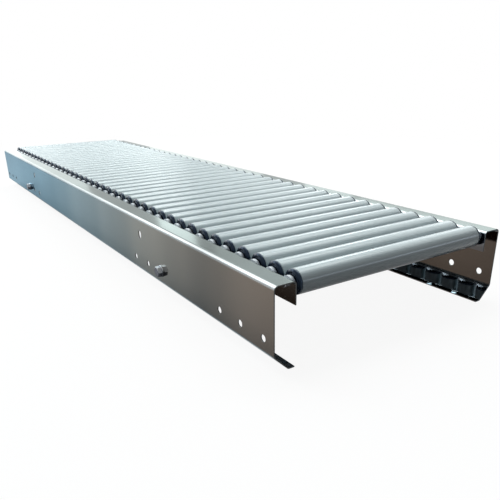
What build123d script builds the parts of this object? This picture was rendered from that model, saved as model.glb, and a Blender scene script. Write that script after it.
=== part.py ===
from build123d import *
import os

# Gravity roller conveyor section: two bent-sheet side frames, closely pitched rollers on
# fixed hexagonal axles, and two bolted tie bars. Millimetres. X runs along the conveyor,
# Y across it from the front frame to the back frame, Z up from the soles of the frames.

# Rollers
roller_count = 41
roller_pitch = 57.0
roller_diameter = 50.0
tube_length = 500.0
cap_width = 8.0
bore_sides = 8
bearing_clearance = 0.05

# Hub spacers between the roller caps and the frame lips
hub_diameter = 30.0
hub_sides = 10
hub_length = 10.5
hub_gap = 0.5

# Axles
axle_across_flats = 11.0
axle_past_lip = 6.0
hex_clearance = 0.1

# Side frame section
sheet = 2.5
bend_radius = 5.0
web_height = 140.0
flange_width = 50.0
lip_height = 47.0
skirt_drop = 33.0
skirt_inset = 33.0
sole_width = 15.0
axle_below_top = 14.0

# Holes that join one section to the next, in a row at each end of each web
splice_hole_diameter = 15.0
splice_hole_count = 3
splice_hole_pitch = 80.0
splice_hole_from_end = 34.0
hole_row_height = 27.0

# Holes for a leg bracket: a pair in the same row, and an upright slot above the pair
leg_hole_diameter = 15.0
leg_hole_pitch = 80.0
leg_hole_from_end = 600.0
leg_slot_height = 96.0
leg_slot_width = 15.0
leg_slot_length = 21.0

# Tie bars, their bolts and washers
tie_from_end = 480.0
tie_height = 30.0
tie_bar_diameter = 30.0
tie_thread_depth = 35.0
bolt_diameter = 16.0
bolt_grip = 25.0
bolt_head_across_flats = 24.0
bolt_head_height = 10.0
bolt_chamfer = 1.2
bolt_hole_clearance = 0.5
thread_clearance = 0.05
washer_diameter = 30.0
washer_thickness = 3.0

# Places worked out from the sizes above
frame_length = roller_count * roller_pitch
frame_top = skirt_drop + web_height
axle_height = frame_top - axle_below_top
roller_half_length = tube_length / 2 + cap_width
lip_face = roller_half_length + hub_gap + hub_length
web_face = lip_face + flange_width
web_inside = web_face - sheet
hole_row_z = skirt_drop + hole_row_height
tie_z = skirt_drop + tie_height
axle_corner_radius = axle_across_flats / 3 ** 0.5


def along_y(sketch, start, end):
    """Extrude a sketch drawn in X and Z from one Y to another."""
    return extrude(Plane.XZ.offset(-start) * sketch, amount=start - end)


def hexagon(across_flats):
    return RegularPolygon(across_flats / 2, 6, major_radius=False, rotation=30)


def roller_stations():
    """X of every axle, from the +X end of the frame."""
    first = (frame_length - roller_pitch) / 2
    return [first - index * roller_pitch for index in range(roller_count)]


def at_both_ends(distance):
    """X of the two places that lie this far in from the ends of the frame."""
    return [frame_length / 2 - distance, distance - frame_length / 2]


def make_roller():
    """Tube with its bearing housings pressed in. The hidden bore has a few flats that clear
    the corners of the axle as it turns."""
    bore_radius = axle_corner_radius + bearing_clearance
    bore = RegularPolygon(bore_radius, bore_sides, major_radius=False)
    return along_y(Circle(roller_diameter / 2) - bore, -roller_half_length, roller_half_length)


def make_axle():
    half_length = lip_face + sheet + axle_past_lip
    return along_y(hexagon(axle_across_flats), -half_length, half_length)


def make_hub(side):
    """Spacer on the axle that fills the space between a cap and its lip."""
    outline = RegularPolygon(hub_diameter / 2, hub_sides)
    ring = outline - hexagon(axle_across_flats + 2 * hex_clearance)
    return along_y(ring, side * (lip_face - hub_length), side * lip_face)


def web_holes():
    """Sketch of every hole in one web, apart from those of the tie bolts."""
    row_middle = splice_hole_from_end + splice_hole_pitch * (splice_hole_count - 1) / 2
    holes = Sketch()
    for x in at_both_ends(row_middle):
        row = GridLocations(splice_hole_pitch, 0, splice_hole_count, 1)
        holes += Pos(x, hole_row_z) * row * Circle(splice_hole_diameter / 2)
    for x in at_both_ends(leg_hole_from_end):
        pair = GridLocations(leg_hole_pitch, 0, 2, 1)
        holes += Pos(x, hole_row_z) * pair * Circle(leg_hole_diameter / 2)
        slot = SlotOverall(leg_slot_length, leg_slot_width, rotation=90)
        holes += Pos(x, skirt_drop + leg_slot_height) * slot
    return holes


def bolt_holes():
    holes = Sketch()
    for x in at_both_ends(tie_from_end):
        holes += Pos(x, tie_z) * Circle(bolt_diameter / 2 + bolt_hole_clearance)
    return holes


def axle_holes():
    hole = hexagon(axle_across_flats + 2 * hex_clearance)
    stations = [Pos(x, axle_height) for x in roller_stations()]
    return Sketch() + [station * hole for station in stations]


def make_side_frame():
    """Front side frame: lip, flange, web, skirt and sole bent from one sheet."""
    skirt_end = skirt_inset - web_face
    outside = FilletPolyline(
        (-lip_face, frame_top - lip_height),
        (-lip_face, frame_top),
        (-web_face, frame_top),
        (-web_face, skirt_drop),
        (skirt_end, 0),
        (skirt_end + sole_width, 0),
        radius=bend_radius + sheet,
    )
    section = make_face(offset(outside, amount=sheet, side=Side.LEFT, closed=True))
    frame = extrude(Plane.YZ * section, amount=frame_length / 2, both=True)
    frame -= along_y(axle_holes(), -lip_face - sheet, -lip_face)
    frame -= along_y(web_holes() + bolt_holes(), -web_face, -web_inside)
    return frame


def make_tie_bar():
    """Round bar between the webs, with a plain-bored threaded hole in each end."""
    bar = along_y(Circle(tie_bar_diameter / 2), -web_inside, web_inside)
    thread = Circle(bolt_diameter / 2 + thread_clearance)
    for side in (-1, 1):
        bar -= along_y(thread, side * (web_inside - tie_thread_depth), side * web_inside)
    return bar


def make_washer(side):
    ring = Circle(washer_diameter / 2) - Circle(bolt_diameter / 2 + bolt_hole_clearance)
    return along_y(ring, side * web_face, side * (web_face + washer_thickness))


def make_bolt(side):
    """Hexagon-head bolt through the washer and web into the end of a tie bar."""
    seat = web_face + washer_thickness
    crown = seat + bolt_head_height
    head = along_y(hexagon(bolt_head_across_flats), side * seat, side * crown)
    corner_radius = bolt_head_across_flats / 3 ** 0.5
    blank = along_y(Circle(corner_radius), side * seat, side * crown)
    outer_rim = blank.edges().sort_by(Axis.Y)[-1 if side > 0 else 0]
    head &= chamfer(outer_rim, bolt_chamfer)
    return head + along_y(Circle(bolt_diameter / 2), side * (seat - bolt_grip), side * seat)


def make_parts():
    stations = roller_stations()
    ties = at_both_ends(tie_from_end)
    front_frame = make_side_frame()
    roller = make_roller()
    axle = make_axle()
    tie_bar = make_tie_bar()

    parts = {}
    for index, x in enumerate(stations):
        parts[f"roller_{index + 1:02d}"] = Pos(x, 0, axle_height) * roller
    parts["side_frame_front"] = front_frame
    parts["side_frame_back"] = mirror(front_frame, about=Plane.XZ)
    parts["roller_axles"] = Compound([Pos(x, 0, axle_height) * axle for x in stations])
    for name, side in (("front", -1), ("back", 1)):
        hub = make_hub(side)
        parts[f"hub_spacers_{name}"] = Compound([Pos(x, 0, axle_height) * hub for x in stations])
    for name, x in zip(("near", "far"), ties):
        parts[f"tie_bar_{name}"] = Pos(x, 0, tie_z) * tie_bar
    bolt_places = [(Pos(x, 0, tie_z), side) for x in ties for side in (-1, 1)]
    parts["tie_bolts"] = Compound([place * make_bolt(side) for place, side in bolt_places])
    parts["tie_washers"] = Compound([place * make_washer(side) for place, side in bolt_places])
    return parts


os.makedirs("parts", exist_ok=True)
for node, shape in make_parts().items():
    export_step(shape, f"parts/{node}.step")
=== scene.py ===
"""Roller conveyor section in polished stainless steel with grey rollers, dressed around its
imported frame. Metres. X runs along the conveyor, Y across it, Z up from the soles."""

import math

import bmesh
import bpy
from mathutils import Euler, Matrix, Vector
from mathutils.geometry import intersect_line_line_2d


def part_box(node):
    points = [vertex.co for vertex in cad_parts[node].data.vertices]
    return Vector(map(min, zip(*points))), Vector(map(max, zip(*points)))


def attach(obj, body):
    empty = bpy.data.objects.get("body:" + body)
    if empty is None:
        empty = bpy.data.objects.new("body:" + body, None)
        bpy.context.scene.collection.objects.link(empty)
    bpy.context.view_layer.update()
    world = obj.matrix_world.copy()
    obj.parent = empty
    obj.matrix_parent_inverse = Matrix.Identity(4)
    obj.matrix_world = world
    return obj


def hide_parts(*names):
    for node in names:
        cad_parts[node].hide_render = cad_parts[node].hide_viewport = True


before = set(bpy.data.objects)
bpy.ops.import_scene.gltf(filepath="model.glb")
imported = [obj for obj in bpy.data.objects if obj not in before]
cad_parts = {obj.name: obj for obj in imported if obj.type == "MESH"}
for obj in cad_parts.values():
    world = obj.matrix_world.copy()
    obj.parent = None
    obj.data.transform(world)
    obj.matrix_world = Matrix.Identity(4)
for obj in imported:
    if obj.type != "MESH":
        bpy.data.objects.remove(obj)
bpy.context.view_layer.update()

MM = 0.001

# Places read from the frame
rollers = sorted(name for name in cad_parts
                 if name.startswith("roller_") and name[-1].isdigit())
roller_low, roller_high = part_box(rollers[0])
roller_radius = (roller_high.x - roller_low.x) / 2
roller_half_length = roller_high.y
axle_z = (roller_high.z + roller_low.z) / 2
stations = [(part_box(name)[0].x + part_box(name)[1].x) / 2 for name in rollers]
frame_low, frame_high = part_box("side_frame_front")
hub_low, hub_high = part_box("hub_spacers_front")
axle_low, axle_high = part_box("roller_axles")
tie_low, tie_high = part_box("tie_bar_near")
bolt_low, bolt_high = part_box("tie_bolts")
washer_low, washer_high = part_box("tie_washers")
lip_face = -hub_low.y
web_face = -frame_low.y
frame_top = frame_high.z
frame_half_length = frame_high.x
tie_x = (tie_high.x + tie_low.x) / 2
tie_z = (tie_high.z + tie_low.z) / 2

# Side frame sheet and its holes
SHEET = 2.5 * MM
BEND_RADIUS = 5 * MM
WEB_BEND_RADIUS = 7 * MM
LIP_HEIGHT = 47 * MM
SKIRT_DROP = 33 * MM
SKIRT_INSET = 33 * MM
SOLE_WIDTH = 15 * MM
HOLE_ROW_Z = 60 * MM
HOLE_RADIUS = 7.5 * MM
HOLE_PITCH = 80 * MM
SPLICE_ROW_FROM_END = 114 * MM
LEG_PAIR_FROM_END = 600 * MM
LEG_SLOT_Z = 129 * MM
LEG_SLOT_LENGTH = 21 * MM
AXLE_ACROSS_FLATS = 11 * MM
HEX_CLEARANCE = 0.1 * MM
TIE_HOLE_RADIUS = 8.5 * MM
SHEET_EDGE = 0.35 * MM

# Roller ends and hub spacers
CAP_WIDTH = 6 * MM
TUBE_WALL = 3 * MM
TUBE_EDGE = 0.8 * MM
BORE_RADIUS = 6.4 * MM
CAP_RING_OUTER = 16.6 * MM
CAP_RING_INNER = 13.6 * MM
HUB_RADIUS = 15 * MM
HUB_NOSE_RADIUS = 12.4 * MM
HUB_DRUM_LENGTH = 6.6 * MM

# Axles, ties and bolts
AXLE_CHAMFER = 1 * MM
AXLE_END_SCALE = 0.86
TIE_CHAMFER = 1.5 * MM
BOLT_ACROSS_FLATS = 24 * MM
CROWN_SHARE = 0.95
WASHER_EDGE = 0.4 * MM


def rounded(corners, radius, steps=4, closed=True):
    """Outline with each corner turned into an arc of this radius, or of its own radius."""
    count = len(corners)
    radii = radius if isinstance(radius, (list, tuple)) else [radius] * count
    outline = []
    for i, corner in enumerate(corners):
        here = Vector(corner)
        at_end = not closed and i in (0, count - 1)
        if at_end or radii[i] == 0:
            outline.append(here)
            continue
        before = (Vector(corners[i - 1]) - here).normalized()
        after = (Vector(corners[(i + 1) % count]) - here).normalized()
        half_angle = before.angle(after) / 2
        setback = radii[i] / math.tan(half_angle)
        centre = here + (before + after).normalized() * radii[i] / math.sin(half_angle)
        start = here + before * setback - centre
        turn = start.angle_signed(here + after * setback - centre)
        for step in range(steps + 1):
            arm = start.copy()
            arm.rotate(Matrix.Rotation(-turn * step / steps, 2))
            outline.append(centre + arm)
    return outline


def lathe(profile, segments=72, ring=True):
    """Mesh of a (radius, y) profile turned round the Y axis; a ring closes on itself."""
    mesh = bmesh.new()
    loops = []
    for radius, y in profile:
        loops.append([mesh.verts.new((x, y, z)) for x, z in circle(radius, segments)])
    pairs = list(zip(loops, loops[1:]))
    if ring:
        pairs.append((loops[-1], loops[0]))
    else:
        mesh.faces.new(loops[0])
        mesh.faces.new(reversed(loops[-1]))
    for lower, upper in pairs:
        for i in range(segments):
            j = (i + 1) % segments
            mesh.faces.new((lower[i], lower[j], upper[j], upper[i]))
    bmesh.ops.recalc_face_normals(mesh, faces=mesh.faces)
    return mesh


def prism(outline, start, end):
    """Mesh of an (x, z) outline stretched from one y to another."""
    mesh = bmesh.new()
    near = [mesh.verts.new((x, start, z)) for x, z in outline]
    far = [mesh.verts.new((x, end, z)) for x, z in outline]
    mesh.faces.new(near)
    mesh.faces.new(reversed(far))
    for i in range(len(outline)):
        j = (i + 1) % len(outline)
        mesh.faces.new((near[i], near[j], far[j], far[i]))
    bmesh.ops.recalc_face_normals(mesh, faces=mesh.faces)
    return mesh


def hexagon(across_flats):
    radius = across_flats / math.sqrt(3)
    angles = [math.radians(30 + 60 * i) for i in range(6)]
    return [(radius * math.cos(a), radius * math.sin(a)) for a in angles]


def circle(radius, segments=48):
    angles = [2 * math.pi * i / segments for i in range(segments)]
    return [(radius * math.cos(a), radius * math.sin(a)) for a in angles]


def upright_slot(length, radius):
    """Circle parted at its middle; its two points at z 0 go with the upper half."""
    rise = length / 2 - radius
    nudge = 1e-9
    return [(x, z + math.copysign(rise, z + nudge)) for x, z in circle(radius)]


def copies(mesh, places):
    """One mesh that holds a copy at each place, and frees the mesh it was made from."""
    template = bpy.data.meshes.new("template")
    mesh.to_mesh(template)
    mesh.free()
    joined = bmesh.new()
    for place in places:
        before = len(joined.verts)
        joined.from_mesh(template)
        joined.verts.ensure_lookup_table()
        bmesh.ops.transform(joined, matrix=place, verts=joined.verts[before:])
    bmesh.ops.recalc_face_normals(joined, faces=joined.faces)
    bpy.data.meshes.remove(template)
    return joined


def baked(source):
    """Mesh data of an object with its modifiers applied; the object is removed."""
    bpy.context.view_layer.update()
    graph = bpy.context.evaluated_depsgraph_get()
    data = bpy.data.meshes.new_from_object(source.evaluated_get(graph))
    bpy.data.objects.remove(source)
    return data


def smoothed(data, sharp_degrees):
    """Mesh data with smooth rounds, sharp edges and flats that stay flat."""
    data.shade_smooth()
    data.set_sharp_from_angle(angle=math.radians(sharp_degrees))
    holder = bpy.data.objects.new("holder", data)
    bpy.context.scene.collection.objects.link(holder)
    flats = holder.modifiers.new("flats", "WEIGHTED_NORMAL")
    flats.keep_sharp = True
    return baked(holder)


def to_data(name, mesh, material, sharp_degrees=32):
    """Finished mesh data in this material."""
    data = bpy.data.meshes.new(name)
    mesh.to_mesh(data)
    mesh.free()
    data.materials.append(material)
    return smoothed(data, sharp_degrees)


def add_piece(name, data, body, replaced=(), place=(0, 0, 0)):
    piece = bpy.data.objects.new(name, data)
    bpy.context.scene.collection.objects.link(piece)
    piece.location = place
    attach(piece, body)
    if replaced:
        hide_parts(*replaced)
    return piece


class Nodes:
    """The node tree of one material, with its shader's own sockets set first."""

    def __init__(self, name, **settings):
        self.material = bpy.data.materials.new(name)
        self.material.use_nodes = True
        self.tree = self.material.node_tree
        self.shader = self.tree.nodes["Principled BSDF"]
        for socket, value in settings.items():
            self.put(self.shader, socket.replace("_", " "), value)

    def add(self, kind, props=None, **inputs):
        made = self.tree.nodes.new(kind)
        for key, value in (props or {}).items():
            setattr(made, key, value)
        for key, value in inputs.items():
            self.put(made, key.replace("_", " "), value)
        return made

    def put(self, target, socket, value):
        """Link a socket to another node's output, or set its value."""
        found = next(s for s in target.inputs if s.name.lower() == socket.lower() and s.enabled)
        if isinstance(value, bpy.types.NodeSocket):
            self.tree.links.new(value, found)
        else:
            found.default_value = value

    def coordinates(self, scale, random=0.0):
        """Object coordinates, stretched, and shifted from one object to the next."""
        point = self.add("ShaderNodeTexCoord").outputs["Object"]
        if random:
            number = self.add("ShaderNodeObjectInfo").outputs["Random"]
            shift = self.add("ShaderNodeVectorMath", {"operation": "SCALE"}, Scale=number)
            shift.inputs[0].default_value = (random, random, random)
            moved = self.add("ShaderNodeVectorMath", {"operation": "ADD"})
            self.tree.links.new(point, moved.inputs[0])
            self.tree.links.new(shift.outputs[0], moved.inputs[1])
            point = moved.outputs[0]
        return self.add("ShaderNodeMapping", Vector=point, Scale=scale).outputs[0]

    def noise(self, scale, detail=3.0, roughness=0.5, stretch=(1, 1, 1), random=0.0):
        point = self.coordinates(stretch, random)
        made = self.add("ShaderNodeTexNoise", Vector=point, Scale=scale, Detail=detail,
                        Roughness=roughness)
        return made.outputs["Fac"]

    def split(self, vector):
        """The X, Y and Z of a vector."""
        return self.add("ShaderNodeSeparateXYZ", Vector=vector).outputs

    def facing(self):
        """The X, Y and Z of the way a surface points."""
        return self.split(self.add("ShaderNodeTexCoord").outputs["Normal"])

    def absolute(self, value):
        return self.add("ShaderNodeMath", {"operation": "ABSOLUTE"}, Value=value).outputs[0]

    def between(self, value, low, high):
        """Share from 0 where a value is low to 1 where it is high."""
        made = self.add("ShaderNodeMapRange", Value=value, From_Min=low, From_Max=high)
        return made.outputs["Result"]

    def ramp(self, value, *stops):
        """Colours or grey levels along a value from 0 to 1."""
        made = self.add("ShaderNodeValToRGB", Fac=value)
        band = made.color_ramp
        while len(band.elements) < len(stops):
            band.elements.new(0.5)
        for element, (position, colour) in zip(band.elements, stops):
            level = colour if isinstance(colour, tuple) else (colour, colour, colour)
            element.position = position
            element.color = (*level, 1.0)
        return made.outputs["Color"]

    def mixed(self, share, first, second):
        """The first colour where the share is 0, the second where it is 1; each may be plain."""
        made = self.add("ShaderNodeMix", {"data_type": "RGBA"})
        for index, value in ((0, share), (6, first), (7, second)):
            if isinstance(value, bpy.types.NodeSocket):
                self.tree.links.new(value, made.inputs[index])
            else:
                made.inputs[index].default_value = (*value, 1.0)
        return made.outputs[2]

    def multiplied(self, first, second):
        made = self.add("ShaderNodeMix", {"data_type": "RGBA", "blend_type": "MULTIPLY"})
        made.inputs[0].default_value = 1.0
        self.tree.links.new(first, made.inputs[6])
        self.tree.links.new(second, made.inputs[7])
        return made.outputs[2]

    def spread(self, value, low, high):
        """Map a value from 0 to 1 on to a range."""
        made = self.add("ShaderNodeMapRange", Value=value, To_Min=low, To_Max=high)
        return made.outputs["Result"]

    def bump(self, height, distance, strength=1.0, under=None):
        made = self.add("ShaderNodeBump", Strength=strength, Distance=distance, Height=height)
        if under is not None:
            self.put(made, "Normal", under)
        return made.outputs["Normal"]

    def finish(self, **inputs):
        for key, value in inputs.items():
            self.put(self.shader, key.replace("_", " "), value)
        return self.material


def sheet_steel():
    """Polished stainless sheet, rolled along X, with soft upright clouds. Webs drift from brown
    at the +X end to a cool grey at the other, a painted reflection. Faces that look up get a
    more neutral tone and edge tint, a painted reflection, and bends are duller, by roughness,
    and painted paler than either, a painted highlight. The skirt, and the side of the lip by the
    rollers, are the palest, as painted reflections, the lip paler at its top. The sheet is
    painted darker towards the bottom as shade, and its cut ends near black as painted shade.
    Each tone goes by place on the sheet or by the way a face points."""
    nodes = Nodes("sheet_steel", metallic=1.0)
    flange_tone = (0.165, 0.188, 0.187)
    painted_bend_highlight = (0.30, 0.31, 0.31)
    painted_skirt_reflection = (0.50, 0.56, 0.62)
    painted_end_shade = (0.05, 0.05, 0.05)
    upright_edge = (0.50, 0.68, 0.80)
    level_edge = (0.76, 0.80, 0.79)

    facing = nodes.facing()
    flat = nodes.absolute(facing["Z"])
    # Painted reflection: faces that look up take the flange tone and a neutral edge tint,
    # upright faces the web tone and a cooler edge tint.
    level = nodes.between(flat, 0.2, 0.8)
    # Bends are rougher, and take a paler tone as a painted highlight.
    bend = nodes.ramp(flat, (0.10, 0.0), (0.35, 1.0), (0.86, 1.0), (0.97, 0.0))
    # Painted shade: faces that point along X, the sheet's cut ends, are near black.
    cut = nodes.between(nodes.absolute(facing["X"]), 0.3, 0.7)

    place = nodes.split(nodes.coordinates((1, 1, 1)))
    height = place["Z"]
    # Painted reflection: upright faces drift from brown at the +X end to a cool grey at the far
    # end.
    along = nodes.between(place["X"], -frame_half_length, frame_half_length)
    web = nodes.ramp(along, (0.0, (0.150, 0.172, 0.190)), (0.30, (0.205, 0.222, 0.230)),
                     (0.50, (0.275, 0.252, 0.225)), (0.74, (0.235, 0.188, 0.145)),
                     (1.0, (0.160, 0.124, 0.100)))
    # Painted reflection: the sloping skirt low on the sheet takes the palest tone, as if
    # mirroring the rollers above; it is also smoother.
    skirt = nodes.multiplied(nodes.ramp(flat, (0.60, 0.0), (0.66, 1.0)),
                             nodes.ramp(height, (SKIRT_DROP - 3 * MM, 1.0),
                                        (SKIRT_DROP + 1 * MM, 0.0)))
    # Painted reflection: the lip's face by the rollers is pale at its top and darker lower down.
    lip = nodes.ramp(nodes.absolute(place["Y"]), (lip_face + 0.2 * MM, 1.0),
                     (lip_face + 1 * MM, 0.0))
    painted_lip_reflection = nodes.ramp(height, (frame_top - 38 * MM, (0.20, 0.20, 0.21)),
                          (frame_top - 8 * MM, (0.62, 0.68, 0.72)))
    tones = nodes.mixed(bend, nodes.mixed(level, web, flange_tone), painted_bend_highlight)
    tones = nodes.mixed(lip, nodes.mixed(skirt, tones, painted_skirt_reflection), painted_lip_reflection)

    clouds = nodes.noise(2.6, detail=2.0, stretch=(1, 0.15, 0.25))
    mottled = nodes.ramp(clouds, (0.30, 0.70), (0.50, 1.0), (0.70, 1.25))
    # Painted shade: the sheet is darker towards the bottom and a little paler near the top.
    painted_shade_by_height = nodes.ramp(nodes.between(height, 0, 200 * MM),
                             (0.17, 0.80), (0.40, 0.97), (0.75, 1.05))
    base = nodes.multiplied(nodes.multiplied(tones, mottled), painted_shade_by_height)

    grain = nodes.noise(90.0, detail=4.0, stretch=(0.04, 1, 1))
    waves = nodes.noise(5.0, detail=1.0, stretch=(1, 0.3, 0.5))
    rough = nodes.mixed(bend, nodes.spread(grain, 0.09, 0.17), nodes.spread(grain, 0.30, 0.36))
    return nodes.finish(Base_Color=nodes.mixed(cut, base, painted_end_shade),
                        Roughness=nodes.mixed(skirt, rough, nodes.spread(grain, 0.04, 0.06)),
                        Specular_Tint=nodes.mixed(level, upright_edge, level_edge),
                        Normal=nodes.bump(waves, 0.4 * MM, 0.3,
                                          under=nodes.bump(grain, 0.02 * MM, 0.25)))


def roller_grey():
    """Smooth grey tube with faint lines along it and light handling marks."""
    nodes = Nodes("roller_grey", ior=1.54)
    lines = nodes.noise(160.0, detail=3.0, stretch=(1, 0.02, 1), random=7.0)
    marks = nodes.noise(9.0, random=5.0)
    base = nodes.ramp(marks, (0.30, (0.392, 0.462, 0.486)), (0.70, (0.417, 0.487, 0.511)))
    return nodes.finish(Base_Color=base, Roughness=nodes.spread(marks, 0.15, 0.21),
                        Normal=nodes.bump(lines, 0.01 * MM, 0.15))


def cap_black():
    """Blue-black moulded bearing housing."""
    nodes = Nodes("cap_black", ior=1.5, specular_ior_level=0.38,
                  specular_tint=(0.42, 0.62, 0.90, 1.0))
    grain = nodes.noise(420.0, detail=3.0, random=3.0)
    base = nodes.ramp(grain, (0.3, (0.004, 0.008, 0.018)), (0.7, (0.008, 0.014, 0.028)))
    return nodes.finish(Base_Color=base, Roughness=nodes.spread(grain, 0.14, 0.24),
                        Normal=nodes.bump(grain, 0.04 * MM, 0.25))


def hub_grey():
    """Pale moulded spacer with a fine, uneven grain."""
    nodes = Nodes("hub_grey", ior=1.5)
    grain = nodes.noise(300.0, detail=3.0)
    base = nodes.ramp(grain, (0.3, (0.54, 0.58, 0.63)), (0.7, (0.66, 0.70, 0.74)))
    return nodes.finish(Base_Color=base, Roughness=nodes.spread(grain, 0.32, 0.48),
                        Normal=nodes.bump(grain, 0.04 * MM, 0.3))


def drawn_steel(name, along, base_low, base_high):
    """Bright bar, with the marks of drawing or turning stretched along one axis."""
    nodes = Nodes(name, metallic=1.0)
    marks = nodes.noise(220.0, detail=4.0, stretch=along)
    base = nodes.ramp(marks, (0.3, base_low), (0.7, base_high))
    return nodes.finish(Base_Color=base, Roughness=nodes.spread(marks, 0.18, 0.34),
                        Normal=nodes.bump(marks, 0.02 * MM, 0.3))


def fastener_steel():
    """Plated fastener, with painted light above and painted shade below, and its end faces
    painted dark as a reflection.
    """
    nodes = Nodes("bolt_steel", metallic=1.0)
    marks = nodes.noise(500.0, detail=3.0)
    painted_light_tone = nodes.ramp(marks, (0.3, (0.60, 0.63, 0.66)), (0.7, (0.74, 0.77, 0.80)))
    painted_shade_tone = nodes.ramp(marks, (0.3, (0.050, 0.055, 0.065)), (0.7, (0.090, 0.095, 0.110)))
    painted_dark_face = nodes.ramp(marks, (0.3, (0.040, 0.043, 0.060)), (0.7, (0.110, 0.115, 0.145)))
    # Painted light and shade: faces that look up take the light tone and faces that look down
    # the dark one; faces that point along Y, on bolt heads and washers, take a dark painted
    # reflection.
    facing = nodes.facing()
    above = nodes.between(facing["Z"], 0.0, 0.6)
    face = nodes.between(nodes.absolute(facing["Y"]), 0.90, 0.99)
    return nodes.finish(Base_Color=nodes.mixed(face, nodes.mixed(above, painted_shade_tone, painted_light_tone), painted_dark_face),
                        Roughness=nodes.spread(marks, 0.30, 0.45),
                        Normal=nodes.bump(marks, 0.05 * MM, 0.3))


steel = sheet_steel()
grey = roller_grey()
black = cap_black()
pale = hub_grey()
axle_steel = drawn_steel("axle_steel", (1, 0.03, 1), (0.16, 0.16, 0.17), (0.24, 0.24, 0.25))
bar_steel = drawn_steel("bar_steel", (0.05, 1, 0.05), (0.36, 0.36, 0.37), (0.50, 0.50, 0.52))
bolt_steel = fastener_steel()


def side_sheet():
    """Front side frame's section: lip, flange, web, skirt and sole of one bent sheet."""
    outside = [Vector(point) for point in (
        (-lip_face, frame_top - LIP_HEIGHT),
        (-lip_face, frame_top),
        (-web_face, frame_top),
        (-web_face, SKIRT_DROP),
        (SKIRT_INSET - web_face, 0),
        (SKIRT_INSET - web_face + SOLE_WIDTH, 0),
    )]
    shifted = []
    for start, end in zip(outside, outside[1:]):
        along = (end - start).normalized()
        inwards = Vector((-along.y, along.x)) * SHEET
        shifted.append((start + inwards, end + inwards))
    inside = [shifted[0][0]]
    for (a, b), (c, d) in zip(shifted, shifted[1:]):
        # Both lines are stretched to three times their length, so that they surely cross
        inside.append(intersect_line_line_2d(a + a - b, b + b - a, c + c - d, d + d - c))
    inside.append(shifted[-1][1])
    bends = [0, BEND_RADIUS, WEB_BEND_RADIUS, BEND_RADIUS, BEND_RADIUS, 0]
    outer = rounded(outside, [bend + SHEET for bend in bends], steps=10, closed=False)
    inner = rounded(inside, bends, steps=10, closed=False)
    return outer + inner[::-1]


def sheet_blank():
    """The front frame's sheet before its holes."""
    section = side_sheet()
    mesh = bmesh.new()
    loops = [[mesh.verts.new((x, y, z)) for y, z in section]
             for x in (-frame_half_length, frame_half_length)]
    for i in range(len(section)):
        j = (i + 1) % len(section)
        mesh.faces.new((loops[0][i], loops[0][j], loops[1][j], loops[1][i]))
    mesh.faces.new(loops[0])
    mesh.faces.new(reversed(loops[1]))
    bmesh.ops.recalc_face_normals(mesh, faces=mesh.faces)
    return mesh


def sheet_cutters():
    """Every hole of the front frame as one mesh of separate plugs."""
    web = (-web_face - SHEET, -web_face + 2 * SHEET)
    lip = (-lip_face - 2 * SHEET, -lip_face + SHEET)
    hole = circle(HOLE_RADIUS)
    plugs = []
    for end in (-1, 1):
        row_x = end * (frame_half_length - SPLICE_ROW_FROM_END)
        leg_x = end * (frame_half_length - LEG_PAIR_FROM_END)
        plugs += [(hole, web, row_x + step * HOLE_PITCH, HOLE_ROW_Z) for step in (-1, 0, 1)]
        plugs += [(hole, web, leg_x + step * HOLE_PITCH / 2, HOLE_ROW_Z) for step in (-1, 1)]
        plugs.append((upright_slot(LEG_SLOT_LENGTH, HOLE_RADIUS), web, leg_x, LEG_SLOT_Z))
        plugs.append((circle(TIE_HOLE_RADIUS), web, end * tie_x, tie_z))
    axle_hole = hexagon(AXLE_ACROSS_FLATS + 2 * HEX_CLEARANCE)
    plugs += [(axle_hole, lip, x, axle_z) for x in stations]
    joined = bmesh.new()
    for outline, (start, end), x, z in plugs:
        plug = copies(prism(outline, start, end), [Matrix.Translation((x, 0, z))])
        data = bpy.data.meshes.new("plug")
        plug.to_mesh(data)
        plug.free()
        joined.from_mesh(data)
        bpy.data.meshes.remove(data)
    return joined


def make_side_frames():
    blank = bpy.data.objects.new("blank", to_data("blank", sheet_blank(), steel))
    cutter = bpy.data.objects.new("cutter", to_data("cutter", sheet_cutters(), steel))
    for item in (blank, cutter):
        bpy.context.scene.collection.objects.link(item)
    cut = blank.modifiers.new("holes", "BOOLEAN")
    cut.operation = "DIFFERENCE"
    cut.solver = "EXACT"
    cut.object = cutter
    edge = blank.modifiers.new("broken_edges", "BEVEL")
    edge.width = SHEET_EDGE
    edge.segments = 2
    edge.limit_method = "ANGLE"
    edge.angle_limit = math.radians(40)
    front = baked(blank)
    bpy.data.objects.remove(cutter)
    back = front.copy()
    back.transform(Matrix.Scale(-1, 4, (0, 1, 0)))
    back.flip_normals()
    for side, data in (("front", front), ("back", back)):
        add_piece(f"side_frame_{side}_sheet", smoothed(data, 50), "frame",
                  [f"side_frame_{side}"])


def tube_data():
    """Tube with softly broken ends."""
    half = roller_half_length - CAP_WIDTH
    inner = roller_radius - TUBE_WALL
    corners = [(roller_radius, -half), (roller_radius, half), (inner, half), (inner, -half)]
    return to_data("roller_tube", lathe(rounded(corners, TUBE_EDGE, steps=3), 96), grey)


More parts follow.
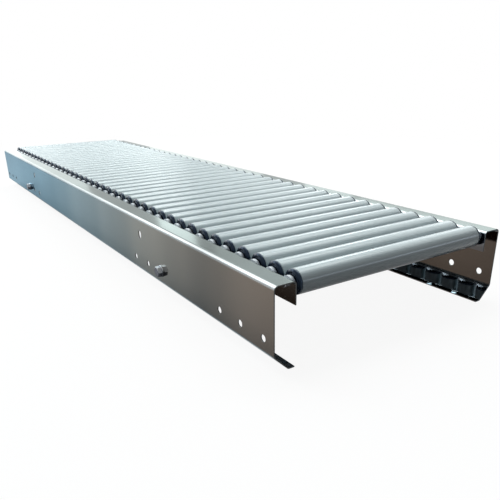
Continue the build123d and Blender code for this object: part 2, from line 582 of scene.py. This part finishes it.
def caps_data():
    """The two bearing housings of one roller: a rim, a sloping face and a raised ring."""
    start = roller_half_length - CAP_WIDTH
    end = roller_half_length
    rim = roller_radius - 0.1 * MM
    groove = rim - 0.8 * MM
    lip_inside = rim - 5.5 * MM
    ring_top = end - 0.4 * MM
    well = end - 2.6 * MM
    draft = 0.6 * MM
    corners = [
        (groove, start),
        (groove, start + 0.7 * MM),
        (rim, start + 0.7 * MM),
        (rim, start + 3.6 * MM),
        (rim - 3.3 * MM, end),
        (lip_inside, end),
        (lip_inside - draft, end - 1.0 * MM),
        (CAP_RING_OUTER + draft, end - 1.4 * MM),
        (CAP_RING_OUTER, ring_top),
        (CAP_RING_INNER, ring_top),
        (CAP_RING_INNER - draft, well),
        (BORE_RADIUS, well),
        (BORE_RADIUS, start),
    ]
    radii = [0.2, 0.2, 0.3, 1.2, 0.8, 0.5, 0.3, 0.3, 0.3, 0.4, 0.3, 0.3, 0]
    cap = lathe(rounded(corners, [r * MM for r in radii], steps=3), 72)
    both = copies(cap, [Matrix.Identity(4), Matrix.Scale(-1, 4, (0, 1, 0))])
    return to_data("roller_caps", both, black)


def make_rollers():
    tube = tube_data()
    caps = caps_data()
    for name, x in zip(rollers, stations):
        place = (x, 0, axle_z)
        add_piece(f"{name}_tube", tube, name, [name], place)
        add_piece(f"{name}_caps", caps, name, place=place)


def make_hubs():
    """Pale spacers: a short drum against the lip, rounded off to its nose at the cap."""
    base = lip_face
    nose = lip_face - (hub_high.y - hub_low.y)
    corners = [
        (BORE_RADIUS, base),
        (HUB_RADIUS, base),
        (HUB_RADIUS, base - HUB_DRUM_LENGTH),
        (HUB_NOSE_RADIUS, nose),
        (BORE_RADIUS, nose),
    ]
    radii = [0, 0.4, 2.4, 1.8, 0.3]
    for side, sign in (("front", -1), ("back", 1)):
        profile = [(radius, sign * y) for radius, y in rounded(corners, [r * MM for r in radii])]
        places = [Matrix.Translation((x, 0, axle_z)) for x in stations]
        data = to_data(f"hub_{side}", copies(lathe(profile, 48), places), pale)
        add_piece(f"hub_spacers_{side}_domes", data, "frame",
                  [f"hub_spacers_{side}"])


def make_axles():
    """Hexagonal bars with chamfered ends."""
    half = axle_high.y
    full = hexagon(AXLE_ACROSS_FLATS)
    small = hexagon(AXLE_ACROSS_FLATS * AXLE_END_SCALE)
    mesh = bmesh.new()
    loops = []
    for outline, y in ((small, -half), (full, AXLE_CHAMFER - half),
                       (full, half - AXLE_CHAMFER), (small, half)):
        loops.append([mesh.verts.new((x, y, z)) for x, z in outline])
    for lower, upper in zip(loops, loops[1:]):
        for i in range(6):
            j = (i + 1) % 6
            mesh.faces.new((lower[i], lower[j], upper[j], upper[i]))
    mesh.faces.new(loops[0])
    mesh.faces.new(reversed(loops[-1]))
    places = [Matrix.Translation((x, 0, axle_z)) for x in stations]
    data = to_data("axles", copies(mesh, places), axle_steel)
    add_piece("roller_axle_bars", data, "frame", ["roller_axles"])


def make_ties():
    """Round bars between the webs with turned chamfers."""
    radius = (tie_high.z - tie_low.z) / 2
    half = tie_high.y
    profile = [(radius - TIE_CHAMFER, -half), (radius, TIE_CHAMFER - half),
               (radius, half - TIE_CHAMFER), (radius - TIE_CHAMFER, half)]
    data = to_data("tie_bar", lathe(profile, 64, ring=False), bar_steel)
    for end, x in (("near", tie_x), ("far", -tie_x)):
        add_piece(f"tie_bar_{end}_turned", data, "frame", [f"tie_bar_{end}"],
                  (x, 0, tie_z))


def bolt_head(across_flats, height, segments=96):
    """Hexagon head seated at y 0, its corners cut back by a shallow cone."""
    flat = across_flats / 2
    crown = flat * CROWN_SHARE
    slope = math.tan(math.radians(30))
    rings = [[], [], []]
    mesh = bmesh.new()
    for i in range(segments):
        angle = 2 * math.pi * i / segments
        off_flat = (angle + math.radians(30)) % math.radians(60) - math.radians(30)
        radius = flat / math.cos(off_flat)
        drop = (radius - crown) * slope
        for ring, size, y in ((rings[0], radius, 0), (rings[1], radius, height - drop),
                              (rings[2], crown, height)):
            ring.append(mesh.verts.new((size * math.sin(angle), y, size * math.cos(angle))))
    for lower, upper in zip(rings, rings[1:]):
        for i in range(segments):
            j = (i + 1) % segments
            mesh.faces.new((lower[i], lower[j], upper[j], upper[i]))
    mesh.faces.new(rings[0])
    mesh.faces.new(reversed(rings[2]))
    bmesh.ops.recalc_face_normals(mesh, faces=mesh.faces)
    return mesh


def make_bolts():
    head_height = bolt_high.y - washer_high.y
    places = []
    for x in (tie_x, -tie_x):
        for sign in (-1, 1):
            turn = Matrix.Rotation(0 if sign > 0 else math.pi, 4, "Z")
            places.append(Matrix.Translation((x, sign * washer_high.y, tie_z)) @ turn)
    heads = copies(bolt_head(BOLT_ACROSS_FLATS, head_height), places)
    heads = to_data("bolt_heads", heads, bolt_steel, sharp_degrees=20)
    add_piece("tie_bolt_heads", heads, "frame", ["tie_bolts"])

    radius = (washer_high.z - washer_low.z) / 2
    thickness = washer_high.y - web_face
    corners = [(TIE_HOLE_RADIUS, -thickness), (radius, -thickness), (radius, 0),
               (TIE_HOLE_RADIUS, 0)]
    ring = lathe(rounded(corners, WASHER_EDGE, steps=3), 64)
    data = to_data("washers", copies(ring, places), bolt_steel)
    add_piece("tie_washer_rings", data, "frame", ["tie_washers"])


make_side_frames()
make_rollers()
make_hubs()
make_axles()
make_ties()
make_bolts()


def seen_by(tree, rays, plain, shown):
    """One shader for these kinds of ray, and a plain one for the rest."""
    path = tree.nodes.new("ShaderNodeLightPath")
    seen = path.outputs[rays[0]]
    for name in rays[1:]:
        either = tree.nodes.new("ShaderNodeMath")
        either.operation = "MAXIMUM"
        tree.links.new(seen, either.inputs[0])
        tree.links.new(path.outputs[name], either.inputs[1])
        seen = either.outputs[0]
    mix = tree.nodes.new("ShaderNodeMixShader")
    tree.links.new(seen, mix.inputs["Fac"])
    tree.links.new(plain, mix.inputs[1])
    tree.links.new(shown, mix.inputs[2])
    return mix.outputs[0]


def make_world():
    """White where the camera or a reflection sees it, and a faint blue fill as light."""
    world = bpy.data.worlds.new("studio")
    bpy.context.scene.world = world
    world.use_nodes = True
    tree = world.node_tree
    soft = tree.nodes["Background"]
    soft.inputs["Color"].default_value = (0.86, 0.94, 1.0, 1.0)
    soft.inputs["Strength"].default_value = 0.04
    white = tree.nodes.new("ShaderNodeBackground")
    white.inputs["Color"].default_value = (1.0, 1.0, 1.0, 1.0)
    white.inputs["Strength"].default_value = 1.0
    rays = ("Is Camera Ray", "Is Glossy Ray", "Is Transmission Ray")
    shown = seen_by(tree, rays, soft.outputs[0], white.outputs[0])
    tree.links.new(shown, tree.nodes["World Output"].inputs["Surface"])


def make_floor():
    """White floor that shows the object's shadow only near it: faint to the camera, and
    stronger in reflections."""
    near, far = 1.6, 3.0
    camera_share, mirror_share = 0.08, 0.60
    mesh = bmesh.new()
    bmesh.ops.create_grid(mesh, x_segments=1, y_segments=1, size=30)
    material = bpy.data.materials.new("floor")
    material.use_nodes = True
    tree = material.node_tree
    tree.nodes.remove(tree.nodes["Principled BSDF"])
    dark_matt = tree.nodes.new("ShaderNodeBsdfDiffuse")
    dark_matt.inputs["Color"].default_value = (0.06, 0.06, 0.06, 1.0)
    pale_matt = tree.nodes.new("ShaderNodeBsdfDiffuse")
    pale_matt.inputs["Color"].default_value = (0.9, 0.9, 0.9, 1.0)
    glow = tree.nodes.new("ShaderNodeEmission")
    glow.inputs["Strength"].default_value = 1.0
    point = tree.nodes.new("ShaderNodeTexCoord").outputs["Object"]
    away = tree.nodes.new("ShaderNodeVectorMath")
    away.operation = "LENGTH"
    tree.links.new(point, away.inputs[0])
    blends = []
    for share in (camera_share, mirror_share):
        fade = tree.nodes.new("ShaderNodeMapRange")
        fade.inputs["From Min"].default_value = near
        fade.inputs["From Max"].default_value = far
        fade.inputs["To Min"].default_value = share
        fade.inputs["To Max"].default_value = 0.0
        tree.links.new(away.outputs["Value"], fade.inputs["Value"])
        blend = tree.nodes.new("ShaderNodeMixShader")
        tree.links.new(fade.outputs["Result"], blend.inputs["Fac"])
        tree.links.new(glow.outputs[0], blend.inputs[1])
        tree.links.new(pale_matt.outputs[0], blend.inputs[2])
        blends.append(blend.outputs[0])
    by_camera, by_mirrors = blends
    rays = ("Is Glossy Ray", "Is Transmission Ray")
    mirrored = seen_by(tree, rays, dark_matt.outputs[0], by_mirrors)
    shown = seen_by(tree, ("Is Camera Ray",), mirrored, by_camera)
    tree.links.new(shown, tree.nodes["Material Output"].inputs["Surface"])
    floor = bpy.data.objects.new("floor", to_data("floor", mesh, material))
    bpy.context.scene.collection.objects.link(floor)
    floor.location.z = -0.5 * MM


def add_softbox(name, place, target, size, radiance, tint=(1.0, 1.0, 1.0)):
    """Area light that faces a point, set by how bright its face is."""
    light = bpy.data.lights.new(name, "AREA")
    light.shape = "RECTANGLE"
    light.size, light.size_y = size
    light.energy = radiance * math.pi * size[0] * size[1]
    light.color = tint
    lamp = bpy.data.objects.new(name, light)
    bpy.context.scene.collection.objects.link(lamp)
    lamp.location = place
    lamp.rotation_euler = (Vector(target) - Vector(place)).to_track_quat("-Z", "Y").to_euler()
    lamp.visible_camera = False


def make_lights():
    """Soft windows and walls of a studio, most of them beyond the far end."""
    mint = (0.94, 1.0, 0.99)
    sky_blue = (0.8, 0.92, 1.0)
    deep_blue = (0.70, 0.86, 1.0)
    aim = (0.6, 0, 0.2)
    add_softbox("skylight", (-5.0, 0.3, 11.0), (0.6, 0.2, 0), (11.0, 8.5), 4.3, mint)
    add_softbox("roof_window", (-3.0, 6.8, 11.5), aim, (9.0, 4.5), 2.6, mint)
    add_softbox("right_window", (-0.5, 8.0, 7.0), aim, (8.0, 7.0), 1.6, mint)
    add_softbox("front_wall", (-5.0, -1.0, 4.3), aim, (5.0, 2.6), 2.4)
    add_softbox("low_wall", (-5.0, -0.9, 1.5), aim, (3.0, 2.0), 1.6)
    add_softbox("far_window", (-5.0, 0.65, 0.95), aim, (1.1, 1.1), 0.8, mint)
    add_softbox("far_window_right", (-5.0, 2.93, 0.95), aim, (1.56, 1.1), 0.9, mint)
    add_softbox("side_window", (-5.0, 5.2, 1.6), aim, (0.8, 0.7), 1.0, mint)
    add_softbox("back_window", (-5.0, 2.42, 3.3), aim, (0.54, 3.6), 1.7, mint)
    add_softbox("left_wall", (-5.0, 3.85, 3.6), aim, (1.6, 4.4), 0.4, mint)
    add_softbox("left_window", (-5.0, 5.6, 4.2), aim, (1.6, 3.6), 2.8, mint)
    add_softbox("corner_window", (-5.0, 8.0, 3.8), aim, (3.2, 2.8), 1.4, mint)
    add_softbox("front_strip", (4.7, 3.3, 0.85), (1.1, 0, 0.17), (2.8, 0.55), 2.8, deep_blue)
    add_softbox("front_key", (-3.6, -2.4, 3.0), (-0.6, -0.2, 0.1), (2.6, 1.6), 3.6, sky_blue)


def make_camera():
    """Camera of the photograph, fitted to the frame edges, holes and rollers."""
    data = bpy.data.cameras.new("camera")
    data.sensor_width = 36
    data.lens = 39.16
    data.shift_x = -0.0056
    data.shift_y = 0.1012
    data.clip_end = 100
    camera = bpy.data.objects.new("camera", data)
    bpy.context.scene.collection.objects.link(camera)
    camera.location = (1.8770, -0.8244, 0.5113)
    camera.rotation_euler = Euler([math.radians(a) for a in (67.31, 0.833, 56.551)])
    bpy.context.scene.camera = camera


make_world()
make_floor()
make_lights()
make_camera()
bpy.context.scene.view_settings.view_transform = "Standard"
